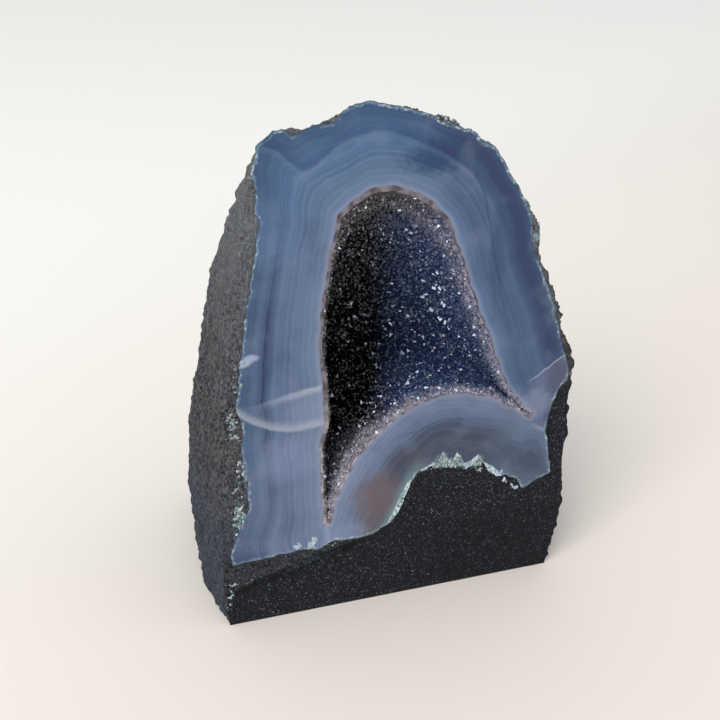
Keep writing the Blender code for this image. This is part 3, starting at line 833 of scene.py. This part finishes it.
def agate_material():
    """Polished chalcedony: bands that follow its growth, healed cracks, a frosted outer rim."""
    material, tree, shader = new_material("polished_agate", 0.2)
    shader.inputs["IOR"].default_value = 1.54
    spot, axes = millimetres(tree)
    across = add(tree, "plus", axes["X"], -FACE_LEFT / MM)
    up = axes["Z"]
    back = add(tree, "plus", axes["Y"], -FACE_Y / MM)
    marks = {name: add(tree, "Attribute", attribute_name=name).outputs["Fac"]
             for name in ("rim", "lining", "growth", "dome", "seam")}
    waves = {}
    for size, detail in ((16.0, 3.0), (9.0, 2.0), (6.0, 2.0), (2.2, 2.0), (1.6, 3.0), (1.0, 3.0)):
        waves[size] = add(tree, "plus", add(tree, "noise", spot, 1.0 / size, detail), -0.5)

    growth = add(tree, "plus", marks["growth"], add(tree, "times", waves[9.0], 0.055))
    growth = add(tree, "plus", growth, add(tree, "times", waves[2.2], 0.007))
    left = add(tree, "ramp", growth, stops=[
        (0.0, "4D5E77"), (0.1, "4E5F79"), (0.2, "54667F"), (0.25, "4D5C76"), (0.295, "3A4660"), (0.35, "4E5D78"),
        (0.42, "5A6A86"), (0.65, "606F8B"), (0.85, "677791"), (1.0, "71809A")])
    top = add(tree, "ramp", growth, stops=[
        (0.0, "475B75"), (0.2, "4E6382"), (0.45, "587090"), (0.75, "5F748E"), (1.0, "6C7D9B")])
    right = add(tree, "ramp", growth, stops=[
        (0.0, "4E5C74"), (0.1, "44506A"), (0.2, "3E4B65"), (0.32, "495772"), (0.42, "55647F"), (0.75, "53627C"),
        (0.9, "5D6F8D"), (1.0, "6A7E9D")])
    dome = add(tree, "ramp", growth, stops=[
        (0.0, "505766"), (0.2, "515866"), (0.38, "4B515F"), (0.5, "505868"), (0.62, "5C6A80"), (0.8, "6B7893"),
        (1.0, "727D96")])
    flank = add(tree, "ramp", growth, stops=[
        (0.0, "5D6168"), (0.12, "6A6A70"), (0.28, "686268"), (0.42, "686A78"), (0.65, "6B7892"), (1.0, "7A87A1")])

    arms = layered(tree, left, [
        (add(tree, "step", up, 98.0, 122.0), 1.0, top.outputs[0]),
        (add(tree, "step", across, 48.0, 66.0), 1.0, right.outputs[0]),
        (both(tree, add(tree, "step", up, 66.0, 50.0), add(tree, "step", across, 40.0, 36.0)), 0.4, "78849D"),
    ])
    dome = layered(tree, dome, [
        (add(tree, "step", across, 50.0, 38.0), 1.0, flank.outputs[0]),
        (add(tree, "step", across, 70.0, 80.0), 0.5, "647085"),
    ])
    colour = add(tree, "mix", marks["dome"], arms, dome)

    bands = add(tree, "stripes", growth, 13.0, 3.0, 0.6)
    hairs = add(tree, "stripes", growth, 44.0, 2.0)
    clear = both(tree, add(tree, "step", waves[16.0], -0.12, 0.1), add(tree, "step", across, 66.0, 50.0))
    smooth = add(tree, "step", across, 84.0, 58.0)
    colour = layered(tree, colour, [
        (add(tree, "step", bands, 0.42, 0.8), 0.24, "36435E"),
        (both(tree, smooth, add(tree, "step", bands, 0.55, 0.2)), 0.18, "8795B2"),
        (both(tree, clear, add(tree, "step", hairs, 0.48, 0.75)), 0.05, "A3AEC6"),
        (both(tree, clear, add(tree, "step", hairs, 0.5, 0.25)), 0.05, "2F3B55"),
        (add(tree, "step", waves[9.0], 0.0, 0.25), 0.25, "77839C"),
        (add(tree, "step", waves[9.0], 0.0, -0.25), 0.25, "3F4C66"),
    ])
    for middle, height, wide, tall, strength, code in TINTS:
        sideways = add(tree, "times", add(tree, "plus", across, -middle), 1.0 / wide)
        upwards = add(tree, "times", add(tree, "plus", up, -height), 1.0 / tall)
        gap = add(tree, "plus", both(tree, sideways, sideways), both(tree, upwards, upwards))
        gap = add(tree, "plus", gap, waves[2.2])
        colour = layered(tree, colour, [(add(tree, "step", gap, 1.0, 0.0), strength, code)])

    arm = add(tree, "step", marks["dome"], 0.6, 0.4)
    wiggle = add(tree, "times", waves[2.2], 1.0)
    scallop = over_line(tree, across, up, SCALLOP, wiggle, handles="AUTO")
    dark_top = both(tree, arm, add(tree, "step", scallop, -0.9, 0.8), add(tree, "step", scallop, 4.2, 0.6),
                    add(tree, "step", up, 70.0, 95.0))
    pale_top = both(tree, add(tree, "step", scallop, -2.2, -0.4), add(tree, "step", scallop, 0.2, -0.3),
                    add(tree, "step", up, 110.0, 120.0))
    lens = over_line(tree, across, up, LENS_LINE, wiggle)
    lens = both(tree, marks["dome"], add(tree, "step", lens, -0.7, 0.0), add(tree, "step", lens, 0.9, 0.1),
                add(tree, "step", across, 44.0, 52.0), add(tree, "step", across, 84.0, 72.0))
    colour = layered(tree, colour, [
        (dark_top, 0.36, "34476A"),
        (pale_top, 0.1, "8FA0BC"),
        (lens, 0.28, "3E5478"),
    ])

    left_arm = add(tree, "times", arm, add(tree, "step", across, 30.5, 29.5))
    right_arm = add(tree, "times", arm, add(tree, "step", across, 84.0, 88.0))
    upper = over_line(tree, across, up, UPPER_CRACK, wiggle)
    lower = over_line(tree, across, up, LOWER_CRACK, wiggle)
    fracture = over_line(tree, across, up, FRACTURE, wiggle)
    colour = layered(tree, colour, [
        (both(tree, left_arm, add(tree, "step", upper, 0.1, -0.1), add(tree, "step", lower, -0.1, 0.1)),
         0.16, "7F8CA6"),
        (both(tree, left_arm, add(tree, "step", upper, -2.4, -0.3), add(tree, "step", upper, 0.7, -0.2),
              add(tree, "step", across, 8.0, 25.0)), 0.6, "A9AFBC"),
        (both(tree, left_arm, add(tree, "step", lower, 3.4, 0.6), add(tree, "step", lower, -0.5, 0.5)),
         0.5, "ABB0BA"),
        (both(tree, right_arm, add(tree, "step", fracture, 0.05, -0.1)), 0.35, "747A90"),
        (both(tree, right_arm, add(tree, "step", fracture, -0.8, -0.1), add(tree, "step", fracture, 0.2, 0.0)),
         0.5, "A9AEBB"),
    ])
    colour = add(tree, "VectorMath", colour, (FACE_LIGHT,) * 3, (SHEEN,) * 3, operation="MULTIPLY_ADD")
    colour = add(tree, "VectorMath", colour, linear("0A101C")[:3], operation="MAXIMUM")

    ragged = add(tree, "plus", marks["rim"], add(tree, "times", waves[1.6], 1.6))
    ragged = add(tree, "plus", ragged, add(tree, "times", waves[6.0], 2.6))
    frost = both(tree, add(tree, "step", ragged, 1.0, 0.4), add(tree, "step", ragged, -0.3, 0.3),
                 add(tree, "step", waves[6.0], -0.16, 0.06))
    spikes = over_line(tree, across, up, FROST, add(tree, "times", waves[1.0], 1.6))
    halo = both(tree, marks["dome"], add(tree, "step", spikes, 6.0, 0.0), add(tree, "step", across, 42.0, 45.0),
                add(tree, "step", across, 58.0, 52.0))
    spikes = both(tree, marks["dome"], add(tree, "step", spikes, 0.2, -0.25), add(tree, "step", across, 43.0, 46.0))
    chalk = add(tree, "mix", add(tree, "step", waves[1.0], -0.12, 0.1), linear("5F8A93"), linear("C9D3D6"))
    colour = layered(tree, colour, [
        (add(tree, "step", marks["lining"], 1.4, 0.1), 0.35, "7F8092"),
        (both(tree, add(tree, "step", marks["seam"], 0.9, 0.1), add(tree, "step", up, 50.0, 46.0)), 0.45, "8E93A6"),
        (frost, 0.42, "7C9CAE"),
        (both(tree, frost, add(tree, "step", waves[1.0], 0.02, 0.14)), 0.6, "C3D0D0"),
        (halo, 0.5, "6F8B92"),
        (add(tree, "step", marks["rim"], 0.3, 0.05), 0.7, "2C3038"),
        (spikes, 0.85, chalk.outputs[2]),
        (add(tree, "step", back, 0.15, 0.5), 1.0, "2B2E35"),
    ])
    tree.links.new(colour.outputs[2], shader.inputs["Base Color"])
    return material


def rock_material():
    """Weathered basalt: grey and sandy outside, near black on the sawn front, with pale grains."""
    material, tree, shader = new_material("sandy_basalt", 0.8)
    shader.inputs["Specular IOR Level"].default_value = 0.25
    spot, axes = millimetres(tree)
    across = add(tree, "plus", axes["X"], -FACE_LEFT / MM)
    grain = add(tree, "noise", spot, 1.1, 4.0, 0.75)
    fibre = add(tree, "noise", add(tree, "scale", spot, (1.0, 1.0, 0.45)), 1.9, 3.0, 0.7)
    patches = add(tree, "noise", spot, 0.12, 3.0)
    streaks = add(tree, "noise", add(tree, "scale", spot, (0.75, 0.75, 0.2)), 1.0, 3.0, 0.6)
    sand = add(tree, "cells", spot, 3.4)
    lottery = add(tree, "SeparateColor", sand.outputs["Color"])
    glitter = add(tree, "ramp", lottery, stops=[
        (0.0, "050608"), (0.5, "0C0E14"), (0.7, "181B24"), (0.85, "2D323E"), (0.94, "4B5261"), (1.0, "858EA0")])
    front = both(tree, add(tree, "step", axes["Y"], FACE_Y / MM + 1.6, FACE_Y / MM + 0.6),
                 add(tree, "step", axes["Z"], 64.0, 56.0))
    front = both(tree, front, add(tree, "ramp", add(tree, "times", across, 0.01), stops=[
        (0.0, "000000"), (0.09, "000000"), (0.1, "FFFFFF")]))
    low = both(tree, add(tree, "step", axes["Y"], FACE_Y / MM + 1.6, FACE_Y / MM + 0.6),
               add(tree, "step", axes["Z"], 24.0, 20.0))
    chalk = add(tree, "mix", add(tree, "step", grain, 0.4, 0.6), linear("6E8F95"), linear("C4CFD0"))
    outside = add(tree, "mix", add(tree, "step", fibre, 0.36, 0.64), linear("121316"), linear("6E7178"))
    sawn = add(tree, "mix", add(tree, "step", grain, 0.35, 0.7), glitter, linear("171A21"))
    colour = layered(tree, outside, [
        (add(tree, "step", streaks, 0.55, 0.4), 0.55, "26282C"),
        (add(tree, "step", patches, 0.46, 0.62), 0.28, "584F48"),
        (add(tree, "step", axes["Z"], 60.0, 8.0), 0.5, "2B3A52"),
        (add(tree, "step", across, 90.0, 97.0), 0.5, "16171A"),
        (add(tree, "step", axes["Z"], 60.0, 120.0), 0.35, "8D9298"),
        (add(tree, "step", lottery, 0.9, 1.0), 0.35, "8C8E94"),
        (front, 1.0, sawn.outputs[2]),
        (low, 1.0, sawn.outputs[2]),
        (both(tree, low, add(tree, "step", across, 40.0, 70.0)), 0.4, "030305"),
        (both(tree, front, add(tree, "step", over_line(tree, across, axes["Z"], MOUND_TOP, 0.0), -0.4, 0.4)),
         0.9, chalk.outputs[2]),
    ])
    groove = over_line(tree, across, axes["Z"], GROOVE_SHADE, add(tree, "times", grain, 0.8))
    ledge = both(tree, low, add(tree, "step", across, 44.0, 34.0))
    # Under the ledge: a lighter sandy band above the groove, and a near-black line along the groove, which is painted
    # shadow
    colour = layered(tree, colour, [
        (both(tree, ledge, add(tree, "step", groove, 0.8, 2.0), add(tree, "step", grain, 0.4, 0.6)), 0.3, "6A6D75"),
        (both(tree, ledge, add(tree, "step", groove, -1.4, 0.0), add(tree, "step", groove, 1.8, 0.6)), 0.85, "020203"),
    ])
    tree.links.new(colour.outputs[2], shader.inputs["Base Color"])
    relief = add(tree, "Bump", 1.0, 1.0 * MM)
    height = add(tree, "plus", fibre, add(tree, "times", add(tree, "step", sand, 0.6, 0.0), 0.35))
    tree.links.new(height.outputs[0], relief.inputs["Height"])
    tree.links.new(relief.outputs["Normal"], shader.inputs["Normal"])
    return material


def crystal_material():
    """Dark smoky quartz: navy on the right, near black on the left as painted shade, milky where it is sawn, paler
    where it faces the window as painted light, with painted glints.
    """
    material, tree, shader = new_material("dark_quartz", 0.1)
    shader.inputs["IOR"].default_value = 1.54
    spot, axes = millimetres(tree)
    marks = {name: add(tree, "Attribute", attribute_name=name).outputs["Fac"] for name in ("pale", "facet_tone_and_glint", "cut")}
    # Painted shade: the hollow's left wall, turned from the window, is near black; the back and right walls are navy
    slant = add(tree, "plus", axes["X"], add(tree, "times", axes["Y"], -0.34))
    slant = add(tree, "plus", slant, add(tree, "times", add(tree, "plus", add(tree, "noise", spot, 0.3, 3.0), -0.5), 9.0))
    edge = (FACE_LEFT - 0.34 * FACE_Y) / MM + 43.5
    right = both(tree, add(tree, "step", slant, edge - 6.0, edge + 7.0), add(tree, "step", axes["Z"], 119.0, 105.0))
    depth = add(tree, "mix", right, linear("040405"), linear("233458"))
    grain = add(tree, "mix", right, linear("7A7477"), linear("788CB6"))
    milk = add(tree, "noise", spot, 0.4, 3.0)
    foot = add(tree, "step", axes["Z"], 70.0, 46.0)
    rim_dark = add(tree, "mix", foot, linear("3B373E"), linear("5A535B"))
    rim_pale = add(tree, "mix", foot, linear("716B76"), linear("9C95A2"))
    rim = add(tree, "mix", add(tree, "step", milk, 0.35, 0.65), rim_dark.outputs[2], rim_pale.outputs[2])
    # The pale tone: milky quartz, and painted light where the crystals face the window
    milk_and_light_tone = add(tree, "mix", add(tree, "step", axes["Z"], 84.0, 108.0), linear("918D9C"), linear("837C86"))
    clouds = add(tree, "step", add(tree, "noise", spot, 0.16, 2.0), 0.35, 0.6)
    colour = layered(tree, depth, [
        # By the facet tone: paler grains at random, partly painted facet light; the dim and bright facets are painted
        # glints
        (add(tree, "step", marks["facet_tone_and_glint"], 0.7, DULL_SPARK), 0.8, grain.outputs[2]),
        (both(tree, right, clouds, add(tree, "step", marks["facet_tone_and_glint"], 0.2, 0.9)), 0.3, "50526A"),
        (add(tree, "step", marks["pale"], 0.05, 0.9), 0.9, milk_and_light_tone.outputs[2]),
        (add(tree, "step", marks["facet_tone_and_glint"], 0.9, DULL_SPARK), 0.3, "A9B8CE"),
        (add(tree, "step", marks["facet_tone_and_glint"], 0.99, 1.0), 1.0, "D9EBFF"),
        (marks["cut"], 1.0, rim.outputs[2]),
    ])
    tree.links.new(colour.outputs[2], shader.inputs["Base Color"])
    return material


def chunk_material():
    """Weathered quartz and bits of basalt: brown-black, grey, teal or milky white from chunk to chunk."""
    material, tree, shader = new_material("weathered_quartz", 0.45)
    spot, _ = millimetres(tree)
    tone = add(tree, "Attribute", attribute_name="tone").outputs["Fac"]
    speckle = add(tree, "plus", add(tree, "noise", spot, 1.6, 2.0), -0.5)
    tone = add(tree, "plus", tone, add(tree, "times", speckle, 0.7))
    colour = add(tree, "ramp", tone, stops=[
        (0.0, "121214"), (0.22, "2F2C2C"), (0.38, "5C5856"), (0.52, "5F7B84"), (0.68, "879BA4"), (0.85, "A6B1C4"),
        (1.0, "CDD2D8")])
    tree.links.new(colour.outputs[0], shader.inputs["Base Color"])
    return material


def floor_material():
    """A matt pale table that turns cooler and whiter towards the back and the left."""
    material, tree, shader = new_material("pale_floor", 0.7)
    _, axes = millimetres(tree)
    away = add(tree, "plus", axes["Y"], add(tree, "times", axes["X"], -0.6))
    colour = add(tree, "mix", add(tree, "step", away, -80.0, 420.0), linear("E1DAD3"), linear("EAEAE6"))
    tree.links.new(colour.outputs[2], shader.inputs["Base Color"])
    return material


def area_lamp(name, place, size, energy, code):
    """A soft square lamp that looks at the stone."""
    lamp = bpy.data.lights.new(name, "AREA")
    lamp.shape = "SQUARE"
    lamp.size = size
    lamp.energy = energy
    lamp.color = linear(code)[:3]
    holder = bpy.data.objects.new(name, lamp)
    holder.location = place
    holder.rotation_euler = (Vector((0.0, 0.0, 0.07)) - holder.location).to_track_quat("-Z", "Y").to_euler()
    bpy.context.scene.collection.objects.link(holder)


def stage_and_light():
    """A plain pale floor, soft light and the camera at the photograph's angle."""
    bpy.ops.mesh.primitive_plane_add(size=6.0)
    floor = bpy.context.object
    floor.name = "floor"
    floor.data.materials.append(floor_material())
    world = bpy.data.worlds.new("studio")
    world.use_nodes = True
    world.node_tree.nodes["Background"].inputs["Color"].default_value = linear("F4F5F7")
    world.node_tree.nodes["Background"].inputs["Strength"].default_value = 0.92
    bpy.context.scene.world = world
    area_lamp("window", (-1.3, -1.2, 1.5), 1.2, 34.0, "FFFDF8")
    view = bpy.data.cameras.new("camera")
    view.lens = CAMERA_LENS
    view.sensor_width = CAMERA_SENSOR
    camera = bpy.data.objects.new("camera", view)
    camera.location = CAMERA_PLACE
    camera.rotation_euler = CAMERA_TURN
    bpy.context.scene.collection.objects.link(camera)
    bpy.context.scene.camera = camera
    bpy.context.scene.view_settings.view_transform = "Standard"


def main():
    """Build the looks."""
    noise.seed_set(SEED)
    chance = random.Random(SEED)
    agate = agate_piece()
    rock = rock_piece(agate)
    crust, wall = crust_piece(agate)
    mark_crust(crust)
    crust = joined(crust, stand_crystals(wall, chance))
    chunks = edge_chunks(rock, agate, chance)
    chunks.data.materials.append(chunk_material())
    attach(chunks, "root")
    for piece, node, slot, material in (
        (rock, "basalt_matrix", "basalt", rock_material()),
        (agate, "agate_wall", "agate", agate_material()),
        (crust, "amethyst_druse", "amethyst", crystal_material()),
    ):
        piece.data.materials.append(material)
        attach(piece, "root")
        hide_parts(node)
    stage_and_light()


main()
